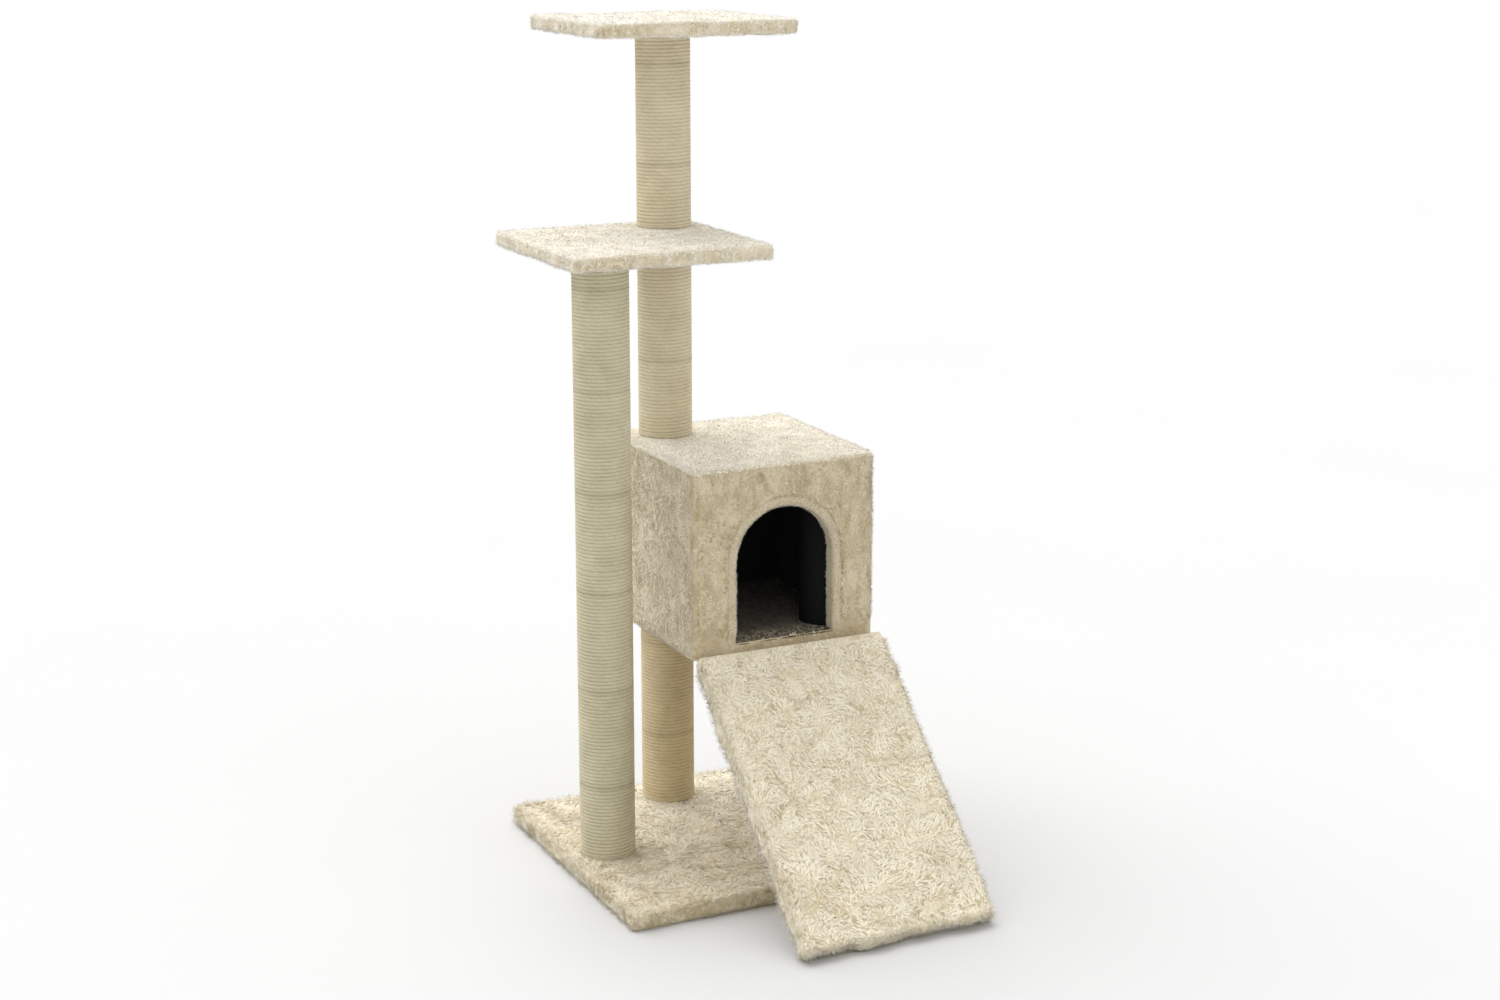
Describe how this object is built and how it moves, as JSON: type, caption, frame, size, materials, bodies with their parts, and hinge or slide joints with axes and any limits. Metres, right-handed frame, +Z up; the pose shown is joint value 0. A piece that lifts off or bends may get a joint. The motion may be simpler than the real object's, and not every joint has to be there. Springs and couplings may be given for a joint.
{
  "type": "cat tree",
  "caption": "Free-standing cat tree: plush base, sisal posts, a small house with an arched door, two platforms and a hinged ramp up to the door.",
  "frame": {"origin": "centre of the base's underside, on the floor", "axes": "+Z up; -Y out of the house's door and down the ramp; +X to the right of someone who faces the door"},
  "size_m": [0.407, 0.6417, 1.0535],
  "materials": {
    "long_plush": "long crushed plush pile, cream with beige mottling",
    "short_plush": "short plush pile, cream with beige mottling, streaked along the pile",
    "sisal": "twisted natural sisal rope, wound turn on turn",
    "felt": "thin needled felt, dull",
    "carpet": "flat short plush",
    "black_lining": "black non-woven cloth, dull",
    "black_card": "black paper over a wound cardboard tube",
    "cardboard": "spirally wound brown cardboard",
    "chipboard": "raw chipboard",
    "plug_plastic": "moulded black plastic",
    "zinc_steel": "zinc plated"
  },
  "bodies": {
    "tree": {"base_board": "chipboard", "base_plush": "long_plush", "base_felt": "felt", "base_bolts": "zinc_steel", "base_washers": "zinc_steel", "tall_post_lower_tube": "cardboard", "tall_post_upper_tube": "cardboard", "tall_post_lower_sisal": "sisal", "tall_post_upper_sisal": "sisal", "tall_post_lower_plugs": "plug_plastic", "tall_post_upper_plugs": "plug_plastic", "tall_post_stud": "zinc_steel", "rear_lower_tube": "cardboard", "rear_lower_sisal": "sisal", "front_lower_tube": "cardboard", "front_lower_sisal": "sisal", "lower_post_plugs": "plug_plastic", "house_rear_tube": "black_card", "house_front_tube": "black_card", "house_tube_plugs": "plug_plastic", "rear_middle_tube": "cardboard", "rear_middle_sisal": "sisal", "rear_upper_tube": "cardboard", "rear_upper_sisal": "sisal", "rear_post_plugs": "plug_plastic", "board_studs": "zinc_steel", "platform_bolts": "zinc_steel", "platform_washers": "zinc_steel", "house_floor": "chipboard", "house_roof": "chipboard", "house_left_wall": "chipboard", "house_right_wall": "chipboard", "house_back_wall": "chipboard", "house_front_wall": "chipboard", "house_screws": "zinc_steel", "house_wall_plush": "short_plush", "house_roof_plush": "short_plush", "house_floor_plush": "short_plush", "house_lining": "black_lining", "house_carpet": "carpet", "door_rim": "short_plush", "middle_board": "chipboard", "middle_plush": "short_plush", "top_board": "chipboard", "top_plush": "short_plush", "hinge_house_leaves": "zinc_steel", "hinge_pins": "zinc_steel", "hinge_house_screws": "zinc_steel"},
    "ramp": {"ramp_board": "chipboard", "ramp_plush": "long_plush", "hinge_ramp_leaves": "zinc_steel", "hinge_ramp_screws": "zinc_steel"}
  },
  "joints": [
    {"name": "ramp_hinge", "type": "hinge", "parent": "tree", "child": "ramp", "pos_m": [0.07, -0.065, 0.273], "axis": [-1, 0, 0], "range_deg": [0, 42]}
  ]
}
